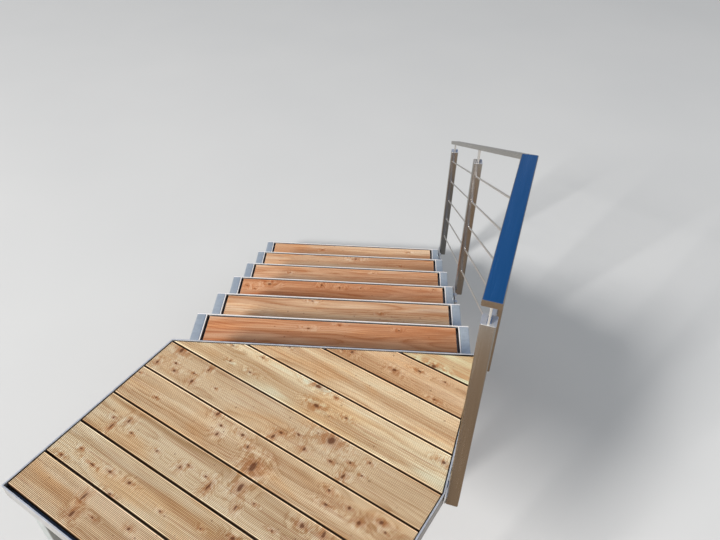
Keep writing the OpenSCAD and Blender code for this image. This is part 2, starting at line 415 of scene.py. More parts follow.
def build_crevice_shade():
    """Mask of the corners that are shut in, which are darkened as painted shade. The Ambient
    Occlusion node tells how shut in a place is, and only the most shut in ones count."""
    tree, takes, gives = new_group("crevice dirt", {"Reach": ("value", 0.025)}, {"Mask": "value"})
    shut = make_node(tree, "AmbientOcclusion", "AO", {"Distance": takes["Reach"]}, samples=6)
    feed(gives["Mask"], ramp(shut, 0.62, 0.25))
    return tree


edge_wear, crevice_shade = build_edge_wear(), build_crevice_shade()
print("groups:", edge_wear.name, "and", crevice_shade.name)

# %% [markdown]
# ## Shared effect: timber figure
#
# Deck boards are sawn from a log. Its growth rings are cylinders about the pith, so on a board
# they show as lines that wander and close into arches, and on its end as arcs. The group works on
# the board's own face: along, across and through. It measures the distance to a pith that
# wanders, and every ring width of it makes one thin late wood line. A knot is the stub of a
# branch: a dark core with a red halo that is drawn out along the grain, and the rings bend round
# it. The group is told how far away the nearest knot is, and draws the rest from that.

# %% Timber figure group
FIGURE_TAKES = {
    "Face": ("vector", None), "Log": ("vector", None),
    "Knot": ("value", 9.0), "Eye": ("value", 9.0),
    "Cream": ("colour", (0.8, 0.7, 0.5, 1)), "Pale": ("colour", (0.6, 0.4, 0.2, 1)),
    "Deep": ("colour", (0.4, 0.2, 0.1, 1)), "Red": ("colour", (0.35, 0.12, 0.05, 1)),
    "Ring width": ("value", 0.005), "Ring strength": ("value", 0.5),
}
KNOT_HALO, KNOT_CORE = (0.43, 0.155, 0.050), (0.135, 0.036, 0.011)
HEARTWOOD, BLUSH = (1.0, 0.82, 0.64), (0.92, 0.66, 0.46)


def build_timber_figure():
    """Colour of the wood, and the height of its fibres and late wood."""
    gives = {"Colour": "colour", "Height": "value"}
    tree, takes, gives = new_group("timber figure", FIGURE_TAKES, gives)
    log = takes["Face"] + takes["Log"]
    u, v, w = channels(log)

    def field(along, across, detail=2.0, roughness=0.5, twist=0.0, offset=(0.0, 0.0, 0.0)):
        """Noise with so many waves to a metre along the log, and so many across it."""
        return noise((log + offset) * (along, across, across), 1.0, detail, roughness, twist)

    # Pin knots: seeds scattered on the face, of which three in ten are kept
    pin, colour = cells(vector_of(u, v, 0.0), 16.0, "2D")
    pick, size, _ = channels(colour)
    pin = ramp(pin / (size * 0.035 + 0.025), 1.5, 0.5) * pick.maths("LESS_THAN", 0.30)

    core = ramp(takes["Knot"], 1.04, 0.45).maths("MAXIMUM", pin * 0.6)
    halo = ramp(takes["Eye"], 1.75, 0.5)
    near = ramp(takes["Eye"], 3.6, 0.8)

    # Rings: distance to a wandering pith, pushed outwards near a knot
    radius = (v * v + w * w).maths("SQRT")
    bent = near * 0.014 + (field(1.2, 5.0) - 0.5) * 0.060 + radius
    late = (bent / takes["Ring width"]).maths("FRACT").maths("POWER", 3.0)

    # Tone: broad bands along the board, fine fibres, and flames across it near a knot
    band = ramp(field(0.9, 16.0, 3.0, 0.55, 0.4), 0.36, 0.64)
    fibre = field(9.0, 420.0, 3.0, 0.65)
    flame = ramp(field(44.0, 17.0, 3.0, 0.6, 1.2), 0.40, 0.58, -1.0, 1.0) * near
    tone = late * takes["Ring strength"] + band * 0.52 + (fibre - 0.5) * 0.42 + flame * 0.30
    tone = tone * 1.55 - 0.20

    # Colour: pale sapwood, pale patches at a knot, red heartwood, dark streaks, and the knots
    sap = ramp(field(2.2, 12.0, twist=0.6, offset=(2.0, 7.0, 3.0)), 0.50, 0.74)
    shine = ramp(field(26.0, 30.0, twist=0.8, offset=(4.0, 9.0, 2.0)), 0.48, 0.66) * near
    heart = ramp(field(2.6, 10.0, twist=0.6, offset=(8.0, 1.0, 6.0)), 0.48, 0.72)
    streak = ramp(field(3.4, 190.0, offset=(5.0, 2.0, 1.0)), 0.57, 0.70)
    wood = blend(tone, takes["Pale"], takes["Deep"])
    for factor, colour, kind in (
        (tone * -1.5, takes["Cream"], "MIX"),
        (sap * 0.55, takes["Cream"], "MIX"),
        (shine * 0.75, takes["Cream"], "MIX"),
        (heart * 0.75, HEARTWOOD, "MULTIPLY"),
        (streak * 0.42, takes["Red"], "MIX"),
        (flame * 0.45, BLUSH, "MULTIPLY"),
        (halo * 0.52, KNOT_HALO, "MIX"),
        (core * 0.88, KNOT_CORE, "MIX"),
    ):
        wood = blend(factor, wood, colour, kind)
    feed(gives["Colour"], wood)
    feed(gives["Height"], fibre * 0.6 + late * 0.4)
    return tree


timber_figure = build_timber_figure()
print(len(timber_figure.nodes), "nodes in", timber_figure.name)

# %% [markdown]
# ## Timber materials
#
# The landing's boards have weathered to a pale tan. The treads are still more orange, and each is
# another shade. The mesh keeps how deep each of its points lies, and the wood is darkened by it: in
# the foot of a groove that is partly soiling and partly painted shade, at the arrises and on the
# sides in the gaps it is painted shade, and clean edges bleach. The knots that one notices were set
# out board by board. Each is an oval: its place, and its half length along and across the grain.

# %% Knots, in millimetres
# On the landing from the corner by the house, and on a tread from the middle of its nosing
DECK_KNOTS = {
    1: [(450, 124, 5, 7), (327, 88, 7, 4), (265, 62, 7, 16), (250, 120, 5, 20)],
    2: [(250, 228, 8, 6), (332, 235, 8, 6), (102, 235, 5, 5), (65, 182, 7, 5), (311, 172, 9, 5),
        (488, 218, 4, 4), (632, 245, 4, 4), (735, 275, 9, 8), (180, 213, 14, 4)],
    3: [(195, 371, 5, 5), (94, 382, 5, 5), (321, 369, 5, 5), (427, 366, 5, 9), (448, 387, 6, 5),
        (523, 388, 5, 5), (642, 419, 10, 20), (675, 356, 4, 12), (715, 400, 5, 4),
        (115, 352, 4, 18), (150, 402, 5, 12), (554, 366, 5, 20), (885, 425, 9, 10),
        (958, 438, 8, 14), (820, 360, 5, 4)],
    4: [(442, 531, 6, 9), (431, 565, 6, 5), (518, 577, 9, 7), (564, 550, 6, 8), (627, 500, 13, 26),
        (906, 523, 9, 6), (886, 569, 7, 6), (975, 554, 8, 6), (1027, 529, 9, 9), (1085, 569, 10, 9),
        (1112, 548, 6, 5), (388, 596, 6, 12), (154, 527, 4, 4), (19, 577, 5, 4)],
    5: [(35, 648, 6, 11), (119, 654, 7, 7), (208, 652, 6, 10), (98, 683, 6, 5), (190, 685, 5, 4),
        (304, 677, 4, 4), (71, 742, 10, 15), (225, 729, 4, 11), (622, 657, 8, 6), (677, 685, 9, 6),
        (727, 648, 6, 9), (829, 659, 7, 5), (896, 636, 6, 13), (888, 691, 7, 6), (785, 727, 18, 20),
        (942, 727, 5, 5), (608, 630, 6, 13), (946, 671, 5, 4)],
    6: [(656, 818, 12, 9), (775, 832, 6, 5), (358, 805, 8, 5), (354, 887, 6, 4), (612, 893, 15, 9),
        (219, 871, 6, 4), (696, 886, 4, 4), (1146, 865, 9, 7), (262, 806, 5, 4)],
    7: [(408, 985, 4, 4)],
    8: [(623, 1101, 7, 9), (805, 1115, 10, 8), (888, 1163, 9, 5), (991, 1169, 6, 4),
        (996, 1077, 8, 4), (585, 1090, 5, 6)],
    9: [(921, 1214, 12, 9)],
}
TREAD_KNOTS = {
    1: [(-100, -58, 8, 6), (295, -44, 5, 5), (35, -28, 6, 4)],
    2: [(-125, -24, 7, 6), (210, -90, 5, 4)],
    3: [(-395, -46, 12, 10), (-515, -66, 7, 6), (-470, -88, 6, 4), (-113, -36, 7, 9),
        (-13, -50, 8, 7), (100, -46, 7, 5), (495, -30, 5, 5)],
    4: [(-330, -70, 5, 4), (160, -40, 5, 4)],
    5: [(40, -30, 13, 9), (330, -80, 5, 4)],
    6: [(-210, -60, 6, 5), (390, -45, 7, 5)],
}
print(sum(len(k) for k in DECK_KNOTS.values()), "knots on the landing")


# %% Timber materials
MM = 0.001
# The first colour is the dark that grooves, arrises and sides are drawn towards: partly soiling,
# partly painted shade.
GRIME_AND_SHADE, BLEACHED = (0.050, 0.024, 0.011), (0.80, 0.68, 0.52)


def knot_distances(face, knots):
    """Distance to the nearest knot, in its own half lengths. The second one has the knot drawn
    out along the grain, because the wood grows round it in the shape of an eye."""
    knot, eye = 9.0, 9.0
    for u, v, long, broad in knots:
        oval = (face + (-u * MM, -v * MM, 0.0)) * (1 / (long * MM), 1 / (broad * MM), 0.0)
        knot = oval.maths("LENGTH").maths("MINIMUM", knot)
        eye = (oval * (0.42, 0.85, 0.0)).maths("LENGTH").maths("MINIMUM", eye)
    return knot, eye


def timber(name, palette, log, knots, ring_width, ring_strength, darkening):
    """One board's finish: the timber figure with the board's knots, darkened by dip in the grooves,
    at the arrises and on the sides: partly soiling, partly painted shade. The palette is its cream,
    pale, deep and red wood."""
    material, tree, shader = new_material(name)
    feed(shader["Specular IOR Level"], 0.12)
    face = attribute(tree, "face")
    ragged = vector_of(noise(face, 70), noise(face + (3.0, 1.0, 0.0), 70), 0.0) + (-0.5, -0.5, 0.0)
    knot, eye = knot_distances(face + ragged * (0.009, 0.009, 0.0), knots)
    woods = dict(zip(("Cream", "Pale", "Deep", "Red"), palette))
    figure = use_group(
        tree, timber_figure, Face=face, Log=log, Knot=knot, Eye=eye, Ring_width=ring_width,
        Ring_strength=ring_strength, **woods,
    )
    dip = attribute(tree, "dip", "Fac")
    # Darkened by dip: in the grooves partly soiling and partly painted shade, at the arrises and on
    # the sides painted shade in the gaps.
    soiled_and_shaded = blend(dip * darkening, figure["Colour"], GRIME_AND_SHADE)
    clean = dip.maths("MULTIPLY_ADD", -1.0, 0.9, clamp=True)
    worn = use_group(tree, edge_wear, Radius=0.002, Breakup=0.7)["Mask"] * clean * 0.35
    feed(shader["Base Color"], blend(worn, soiled_and_shaded, BLEACHED))
    rough = figure["Height"] * 0.16 + 0.60
    feed(shader["Roughness"], dip.maths("MULTIPLY_ADD", 0.12, rough, clamp=True))
    bump(shader, figure["Height"], 0.0007, 0.55)
    return material


# %% [markdown]
# ## Steel materials
#
# Hot dip galvanising leaves crystals, the spangle: cells a centimetre across that differ a little
# in brightness and gloss, with a cloudy veil over them. The railing is stainless steel that was
# brushed along its length. The brush marks follow the place that each piece keeps.

# %% Spangle and brush groups
def build_spangle():
    """Brightness, gloss and height of zinc crystals with a cloudy veil."""
    gives = {"Shade": "value", "Gloss": "value", "Height": "value"}
    tree, takes, gives = new_group("zinc spangle", {"Size": ("value", 1.0)}, gives)
    where, size = position(tree), takes["Size"]
    spread = where * vector_of(size, size, size)
    warp = vector_of(*[noise(spread, scale) for scale in (130, 117, 141)]) * (0.006, 0.006, 0.006)
    distance, colour = cells(spread + warp, 85)
    shade, gloss, _ = channels(colour)
    veil, speck = noise(where, 5.5, 4.0, 0.6), noise(where, 420, 2.0, 0.6)
    cloudy = (veil - 0.5) * 0.9 + (shade - 0.5) * 0.34 + 0.5
    feed(gives["Shade"], (speck - 0.5).maths("MULTIPLY_ADD", 0.22, cloudy, clamp=True))
    feed(gives["Gloss"], gloss * 0.5 + veil * 0.5)
    feed(gives["Height"], distance * 0.4 + speck * 0.6)
    return tree


def build_brush_marks():
    """Fine lines along a piece, and broad smears."""
    takes, gives = {"Place": ("vector", None)}, {"Line": "value", "Smear": "value"}
    tree, takes, gives = new_group("brush marks", takes, gives)
    feed(gives["Line"], noise(takes["Place"] * (5.0, 3200.0, 900.0), 1.0, 2.0, 0.6))
    feed(gives["Smear"], noise(takes["Place"] * (1.5, 28.0, 28.0), 1.0, 3.0, 0.6))
    return tree


spangle, brush_marks = build_spangle(), build_brush_marks()
print("groups:", spangle.name, "and", brush_marks.name)


# %% Steel materials
# The first colour is painted shade: the near black that shut-in corners are darkened to.
CORNER_SHADE, POLISHED = (0.022, 0.021, 0.020), (0.86, 0.85, 0.83)


def galvanised_steel(
    name, dark, light, rubbed, rub=0.55, radius=0.0025, trodden_and_glint=0.0, metallic=0.45
):
    """Zinc coated steel: spangle between two greys, bright where an edge of that radius is rubbed,
    and darkened in shut-in corners, which is painted shade. trodden_and_glint is how far the faces
    that look up are made bright: partly rubbed by feet and partly a painted highlight."""
    material, tree, shader = new_material(name, metallic)
    zinc = use_group(tree, spangle, Size=1.0)
    worn = use_group(tree, edge_wear, Radius=radius, Breakup=0.5)["Mask"]
    darkening = use_group(tree, crevice_shade, Reach=0.025)["Mask"]
    grey = blend(zinc["Shade"], dark, light)
    # Faces that look up are brightened: partly worn by feet, partly a painted highlight.
    if trodden_and_glint:
        _, _, up = channels(make_node(tree, "NewGeometry", "Normal"))
        grey = blend(ramp(up, 0.5, 0.9) * trodden_and_glint, grey, rubbed)
    grey = blend(worn * rub, grey, rubbed)
    # Painted shade: shut-in corners are darkened nearly to black.
    feed(shader["Base Color"], blend(darkening * 0.92, grey, CORNER_SHADE))
    feed(shader["Roughness"], ramp(zinc["Gloss"], 0.1, 0.9, 0.42, 0.60))
    bump(shader, zinc["Height"], 0.0006, 0.30)
    return material


def brushed_stainless(name, dark, light, smooth=0.19, rough=0.29, metallic=1.0):
    """Stainless steel brushed along its length: fine lines in colour, gloss and height."""
    material, tree, shader = new_material(name, metallic)
    marks = use_group(tree, brush_marks, Place=attribute(tree, "place"))
    worn = use_group(tree, edge_wear, Radius=0.0015, Breakup=0.3)["Mask"]
    line = marks["Line"] * 0.55 + marks["Smear"] * 0.45
    grey = blend(ramp(line, 0.3, 0.7), dark, light)
    feed(shader["Base Color"], blend(worn * 0.7, grey, POLISHED))
    feed(shader["Roughness"], ramp(line, 0.25, 0.75, smooth, rough))
    bump(shader, marks["Line"], 0.0003, 0.12)
    return material


galvanised = galvanised_steel(
    "galvanised sections", (0.36, 0.395, 0.40), (0.51, 0.545, 0.545), (0.80, 0.82, 0.84)
)
# The bars' edges are brightened nearly to white: partly worn zinc, partly a painted highlight.
bar_zinc = galvanised_steel(
    "galvanised bars", (0.36, 0.37, 0.375), (0.50, 0.505, 0.51), (0.92, 0.90, 0.86), 0.95, 0.004
)
# The nosings' edges and up-facing faces are brightened nearly to white: partly wear, partly a
# painted highlight.
nosing_zinc = galvanised_steel(
    "galvanised nosings", (0.38, 0.39, 0.395), (0.52, 0.525, 0.53), (0.97, 0.91, 0.84),
    0.95, 0.004, trodden_and_glint=0.95, metallic=0.25,
)
bolt_steel = galvanised_steel(
    "zinc plated bolts", (0.40, 0.42, 0.45), (0.62, 0.64, 0.66), (0.80, 0.81, 0.82)
)
weld_zinc = galvanised_steel(
    "galvanised welds", (0.30, 0.33, 0.38), (0.48, 0.51, 0.56), (0.70, 0.72, 0.75)
)
stainless = brushed_stainless("brushed stainless", (0.355, 0.335, 0.315), (0.495, 0.475, 0.450))
fittings = brushed_stainless(
    "stainless fittings", (0.47, 0.46, 0.44), (0.61, 0.60, 0.575), 0.38, 0.50, 0.6
)
rod_steel = brushed_stainless(
    "stainless rods", (0.50, 0.48, 0.45), (0.66, 0.635, 0.60), 0.26, 0.40, 0.75
)
weld_stainless = brushed_stainless("stainless welds", (0.36, 0.34, 0.32), (0.58, 0.555, 0.525))
print(len(bpy.data.materials), "materials of steel")

# %% [markdown]
# ## Boards
#
# A deck board is 143 mm by 27 mm, planed, with rounded arrises and fine grooves along its face.
# The photograph's boards show grooves 4.3 mm apart. So the section is a function across the
# board: the face's height drops by a cosine in each groove and by a quarter circle at each arris.
# Lengthwise the section is carried between the board's two ends. Those are cut to the landing's
# outline, so an end is a function of the place across, read from the corners of the CAD board.

# %% Board section
GROOVE_PITCH, GROOVE_DEPTH, GROOVE_MARGIN = 0.0043, 0.0010, 0.0045
GROOVE_STEPS, ARRIS_STEPS = 6, 4
ARRIS, SIDE_STEP = 0.0030, 0.002
# The sides' dip is painted shade in the gaps between boards; the underside's makes it a little
# darker.
SIDE_DIP, UNDER_DIP = 1.5, 0.4
BOARD_STATIONS, END_EASE = 7, 0.0012


def board_section(width, thickness, arris_shade):
    """Ring of (v, z, dip): up the near side, over the face, down the far side, and back along the
    flat underside. The face drops by a cosine in each groove, whose crest and foot are then made
    broader, and by a quarter circle at each arris. dip tells how far a point is darkened: in a
    groove's foot partly soiling and partly painted shade, at an arris and on a side painted shade
    in the gaps between boards, and a little on the underside."""
    grooves = math.floor((width - 2 * GROOVE_MARGIN) / GROOVE_PITCH)
    start = (width - grooves * GROOVE_PITCH) / 2
    arris = ARRIS * (1 - np.cos(np.linspace(0, math.pi / 2, ARRIS_STEPS + 1)))
    face = np.linspace(start, width - start, grooves * GROOVE_STEPS + 1)
    v = np.concatenate([arris, face, width - arris[::-1]])
    inside = (v > start) & (v < width - start)
    dip = np.where(inside, 0.5 - 0.5 * np.cos(2 * math.pi * (v - start) / GROOVE_PITCH), 0)
    dip = dip * dip * (3 - 2 * dip)
    short = np.clip(ARRIS - np.minimum(v, width - v), 0, ARRIS)
    drop = ARRIS - np.sqrt(ARRIS**2 - short**2) + GROOVE_DEPTH * dip
    low = np.array([thickness - SIDE_STEP, ARRIS + SIDE_STEP])
    z = -np.concatenate([low, drop, low[::-1]])
    # Arrises are darkened by the board's factor, and the sides fully: painted shade in the gaps.
    dip = np.pad(np.maximum(dip, arris_shade * short / ARRIS), 2, constant_values=SIDE_DIP)
    v = np.pad(v, 2, constant_values=(0, width))
    back = (0, len(v))
    z = np.pad(z, back, constant_values=-thickness)
    dip = np.pad(dip, back, constant_values=UNDER_DIP)
    return np.concatenate([v, np.linspace(width, 0, len(v))]), z, dip


def ends_at(corners, v):
    """Where a convex outline, in (u, v), starts and ends at each v."""
    a, b = corners, np.roll(corners, -1, 0)
    rise = b[:, 1] - a[:, 1]
    sloped = np.abs(rise) > 1e-7
    a, b, rise = a[sloped], b[sloped], rise[sloped]
    t = (v[..., None] - a[:, 1]) / rise
    u = a[:, 0] + t * (b[:, 0] - a[:, 0])
    hit = (t > -1e-6) & (t < 1 + 1e-6)
    return np.where(hit, u, np.inf).min(-1), np.where(hit, u, -np.inf).max(-1)


def board(corners, top, thickness, way, start_from, arris_shade=1.2):
    """A grooved board in a plan outline, and its points' dip. way is its unit vector in plan, and
    its face is measured from start_from. Near its ends the section draws in, so that the cut's
    edges are eased."""
    side = np.array([-way[1], way[0]])
    uv = np.stack([(corners - start_from) @ way, (corners - start_from) @ side], -1)
    low, width = uv[:, 1].min(), np.ptp(uv[:, 1])
    v, z, dip = board_section(width, thickness, arris_shade)
    t = np.concatenate([[0], np.linspace(0, 1, BOARD_STATIONS), [1]])
    draw, push = np.zeros((len(t), 1)), np.zeros((len(t), 1))
    draw[[0, -1]] = push[1] = END_EASE
    push[-2] = -END_EASE
    vs = low + width / 2 + (v - width / 2) * (1 - 2 * draw / width)
    zs = -thickness / 2 + (z + thickness / 2) * (1 - 2 * draw / thickness)
    start, end = ends_at(uv, vs)
    end = np.maximum(end, start + 3 * END_EASE)
    us = start + (end - start) * t[:, None] + push
    place = np.stack([us, vs, zs], -1)
    rings = np.concatenate([lay(place[..., :2], start_from, way, side), top + place[..., 2:]], -1)
    return shell(rings, place, strip_caps=True), np.tile(dip, len(t))


def plan_corners(node):
    """The corners in plan of a CAD board, in order round it, its top and its thickness."""
    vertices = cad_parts[node].data.vertices
    co = np.zeros(len(vertices) * 3)
    vertices.foreach_get("co", co)
    co = co.reshape(-1, 3)
    plan = np.unique(np.round(co[:, :2], 5), axis=0)
    middle = plan.mean(0)
    order = np.argsort(np.arctan2(*(plan - middle).T[::-1]))
    return plan[order], co[:, 2].max(), np.ptp(co[:, 2])


# %% [markdown]
# ## The landing's boards
#
# Nine boards cover the landing. Their tones go from pale to reddish, as the boards in the
# photograph do: each has a shade and warmth of its own, and its own place in the log. A factor of
# its own says how dark its arrises are painted, which is painted shade in the gaps. The tip of the
# last one is cut blunt, as a sharp point would break off.

# %% Landing boards
LANDING_DEPTH, BLUNT = 0.765, 0.005
HOUSE_CORNER = HERE[:2] - np.array([HALF, 0]) - ACROSS * LANDING_DEPTH
LOG_LENGTHS, LOG_DEPTHS = (0, 40), (0.03, 0.13)
TANS = [(0.84, 0.68, 0.48), (0.735, 0.535, 0.330), (0.440, 0.250, 0.120), (0.360, 0.122, 0.047)]
DECK_SHADES = (1.01, 1.08, 1.06, 1.12, 1.06, 1.38, 1.33, 1.18, 1.70)
DECK_WARMTH = (-0.01, -0.07, -0.06, -0.02, -0.02, -0.09, -0.03, 0.06, -0.03)
# How dark each board's arrises are painted: painted shade that widens the dark of its gaps.
DECK_ARRIS_SHADE = (2.6, 2.6, 2.2, 1.2, 1.2, 1.2, 1.4, 2.0, 2.2)


def shaded(palette, shade, warmth):
    """A palette made lighter by a shade, and warmer by taking from its green and blue."""
    gains = shade * np.array([1 + 0.3 * warmth, 1 - warmth, 1 - 1.9 * warmth])
    colours = np.array(palette) * gains
    colours[:, 0] = np.minimum(colours[:, 0], 1)
    return colours.tolist()


for i, (shade, warmth, arris_shade) in enumerate(zip(DECK_SHADES, DECK_WARMTH, DECK_ARRIS_SHADE), 1):
    corners, top, thickness = plan_corners(f"deck_board_{i}")
    across = corners @ ACROSS
    if i == len(DECK_SHADES):
        past = np.maximum(across - (across.max() - BLUNT), 0)
        corners = corners - past[:, None] * ACROSS
    made, dip = board(corners, top, thickness, ALONG, HOUSE_CORNER, arris_shade)
    pith = -made[2][:, 1].mean() + rng.uniform(-0.09, 0.09)
    log = (rng.uniform(*LOG_LENGTHS), pith, rng.uniform(*LOG_DEPTHS))
    rings = (rng.uniform(0.005, 0.008), 0.42)
    palette = shaded(TANS, shade, warmth)
    finish = timber(f"deck board {i}", palette, log, DECK_KNOTS[i], *rings, darkening=0.90)
    make_piece(f"grooved_deck_board_{i}", [made], finish, [f"deck_board_{i}"], dip)
print(len(DECK_SHADES), "boards on the landing")

# %% [markdown]
# ## The treads' boards
#
# Each tread is two boards of the same decking, cut square. The two lie side by side in one CAD
# node, one at the front of its box and one at the back. The second is sawn from further along the
# log, so its figure is another.

# %% Tread boards
BOARD_W = 0.143
NEXT_BOARD = 5.3
HONEYS = [(0.84, 0.60, 0.42), (0.740, 0.420, 0.240), (0.460, 0.180, 0.077), (0.330, 0.088, 0.034)]
TREAD_SHADES = (0.89, 1.03, 0.88, 1.0, 0.99, 1.17)
TREAD_WARMTH = (0.06, -0.13, 0.09, -0.04, -0.10, -0.14)
for i, (shade, warmth) in enumerate(zip(TREAD_SHADES, TREAD_WARMTH), 1):
    low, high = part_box(f"tread_boards_{i}")
    nosing = np.array([(low.x + high.x) / 2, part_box(f"tread_frame_{i}")[1].y])
    shells, dips = [], []
    for k, y in enumerate((high.y - BOARD_W, low.y)):
        corners = np.array([[low.x, y], [high.x, y], [high.x, y + BOARD_W], [low.x, y + BOARD_W]])
        made, dip = board(corners, high.z, high.z - low.z, EAST[:2], nosing)
        shells.append((made[0], made[1], made[2] + [NEXT_BOARD * k, 0, 0]))
        dips.append(dip)
    log = (rng.uniform(*LOG_LENGTHS), rng.uniform(0.0, 0.16), rng.uniform(*LOG_DEPTHS))
    rings = (rng.uniform(0.0045, 0.007), 0.50)
    palette = shaded(HONEYS, shade, warmth)
    finish = timber(f"tread boards {i}", palette, log, TREAD_KNOTS[i], *rings, darkening=0.55)
    make_piece(f"grooved_tread_boards_{i}", shells, finish,
               [f"tread_boards_{i}"], np.concatenate(dips))
print(len(TREAD_SHADES), "treads of two boards")

# %% [markdown]
# ## Flat bar frames
#
# The landing's edge frame, its joists and the frames of the treads are flat bar and angle, with
# edges that the shears leave nearly square. The CAD shapes are right as they are, but a perfect
# edge catches no light. So a copy of each has its loose triangles merged, flat neighbours joined,
# and a Bevel of under a millimetre on every real edge.

# %% Eased copies of the frames
FRAMES = ["house_edge", "side_edge", "railing_edge", "front_edge", "left_edge"]
FRAMES += [f"joist_{i}" for i in range(1, 4)] + [f"tread_frame_{i}" for i in range(1, TREADS + 1)]
EASING = {
    "WELD": {"merge_threshold": 0.00002},
    "DECIMATE": {"decimate_type": "DISSOLVE", "angle_limit": math.radians(1)},
    "BEVEL": {
        "width": 0.0009, "segments": 2, "angle_limit": math.radians(30), "harden_normals": True,
    },
}
for node in FRAMES:
    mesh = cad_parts[node].data.copy()
    mesh.name = f"{node}_steel"
    mesh.materials.clear()
    mesh.materials.append(nosing_zinc if node.startswith("tread") else bar_zinc)
    obj = add_object(mesh.name, mesh)
    for kind, settings in EASING.items():
        set_up(obj.modifiers.new(kind.lower(), kind), **settings)
    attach(obj, "root")
    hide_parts(node)
print(len(FRAMES), "frames eased")

# %% [markdown]
# ## Stringers
#
# A stringer is box section, cut and mitred into steps. Its middle line is a staircase of its own:
# down from the landing's front edge, level under each tread and then straight down again. At a
# mitre the section is stretched by one over the cosine of half the turn. Here every turn is a
# right angle, so the two ways are just added. A toe plate with two anchors ends each stringer.

# %% Stringer tubes
def stringer_line():
    """Corners of a stringer's middle line as (y, z), from the landing to the ground."""
    i = np.arange(1, TREADS + 1)
    y = i * GOING - BAR - STRINGER_D / 2
    z = -i * RISER - STRINGER_D / 2
    drop = np.append(z[1:], -DECK)
    corners = np.stack([y, z, y, drop], -1).reshape(-1, 2)
    behind = -STRINGER_D / 2
    return np.concatenate([[[behind, -BAR_H], [behind, z[0]]], corners])


def stringer_tube(x):
    """The section's width goes along X. Its depth goes along the normal of the line, which at a
    corner is the sum of the two normals that meet there."""
    line = stringer_line()
    way = unit(np.diff(line, axis=0))
    normal = np.stack([-way[:, 1], way[:, 0]], -1)
    ups = np.concatenate([normal[:1], normal[:-1] + normal[1:], normal[-1:]])
    m = len(line)
    centres = stair(np.column_stack([np.full(m, x), line]))
    section = rounded_rectangle(STRINGER_W, STRINGER_D, BOX_R)
    return shell(carry(section, centres, [EAST], np.column_stack([np.zeros(m), ups])))


TOE_W, TOE_L = 0.110, 0.120
for side, word in ((-1, "left"), (1, "right")):
    ground = stair([side * (HALF - TOE_W / 2), TREADS * GOING - BAR - TOE_L / 2, -DECK])
    toe = bar(ground, ground + FOOT_T * UP, rounded_rectangle(TOE_W, TOE_L, BOX_R), EAST)
    tube = stringer_tube(side * (HALF - STRINGER_W / 2))
    shells, node = [tube, toe], f"{word}_stringer"
    make_piece(f"{node}_steel", shells, galvanised, [node])
print("stringer line has", len(stringer_line()), "corners")

# %% [markdown]
# ## Legs
#
# Four legs of square tube stand on foot plates. Two stand under the front edge, between the
# stringers, and two under the edge by the house, turned with the landing.

# %% Legs
FOOT_W, FOOT_R = 0.130, 0.005
leg_middles = {}
for name in ("leg_front_left", "leg_front_right", "leg_house_left", "leg_house_right"):
    low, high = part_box(name)
    middle = np.array([low.x + high.x, low.y + high.y, 0]) / 2
    way = EAST if "front" in name else compass(TURN)[0]
    leg_middles[name] = (middle, way)
    tube = bar(middle, middle + high.z * UP, rounded_rectangle(LEG, LEG, BOX_R), way)
    foot = bar(middle, middle + FOOT_T * UP, rounded_rectangle(FOOT_W, FOOT_W, FOOT_R), way)
    make_piece(f"{name}_steel", [tube, foot], galvanised, [name])
print(len(leg_middles), "legs")

# %% [markdown]
# ## The railing's line
#
# The handrail runs level along the landing's right edge and bends at the head of the flight. From
# there it follows the line of the nosings, and comes a little nearer to it at the lower end. The
# posts and rods are set out along the same two lines, so one function gives a place on the level
# line and one gives the handrail's height over the flight.

# %% Railing line
RAIL_H, RAIL_OFF, RAIL_FALL, RAIL_TAIL = 0.900, 0.032, 0.030, 0.025
POST_H, POST_DROP = 0.800, 0.040
ROD_FIRST, ROD_PITCH, RODS = 0.122, 0.149, 5
LEVEL_L, POST_IN, LOWER_PAST = 0.662, 0.040, 0.012
BEND_X = HALF + RAIL_OFF
LEVEL_TURN = TURN / 2
LEVEL_SIDE, LEVEL_WAY = compass(LEVEL_TURN)
FALL_WAY = np.array([0, GOING, -RISER]) / math.hypot(GOING, RISER)
UPPER_AT, CORNER_AT = LEVEL_L - POST_IN, 0.030
MIDDLE_Y, LOWER_Y = 3 * GOING, TREADS * GOING + LOWER_PAST
RAIL_END_Y = LOWER_Y + RAIL_TAIL
RAIL_SLOPE = math.atan(RISER / GOING + RAIL_FALL / LOWER_Y)


def on_level(before, z=0.0):
    """A point of the level line, at a distance before the bend."""
    return np.array([BEND_X, 0, z]) - before * LEVEL_WAY


def nosing_z(y):
    """Height of the line through the nosings."""
    return -y * RISER / GOING


def rail_z(y):
    """Height of the sloped handrail's top."""
    return RAIL_H - y * math.tan(RAIL_SLOPE)


# %% [markdown]
# ## Handrail
#
# The handrail is a flat box section, 50 mm by 20 mm. Three rings carry its section: one square to
# the level line, one in the vertical plane that halves the turn in plan, and one square to the
# slope. The surfaces between them are straight, as on the real rail.

# %% Handrail
def rail_run(stations, name, node):
    """A length of handrail through stations of (middle, side, up)."""
    centres, sides, ups = (np.array(v, float) for v in zip(*stations))
    rings = carry(rounded_rectangle(RAIL_W, RAIL_T, RAIL_R), centres + HERE, sides, ups)
    make_piece(name, [shell(rings)], stainless, [node])


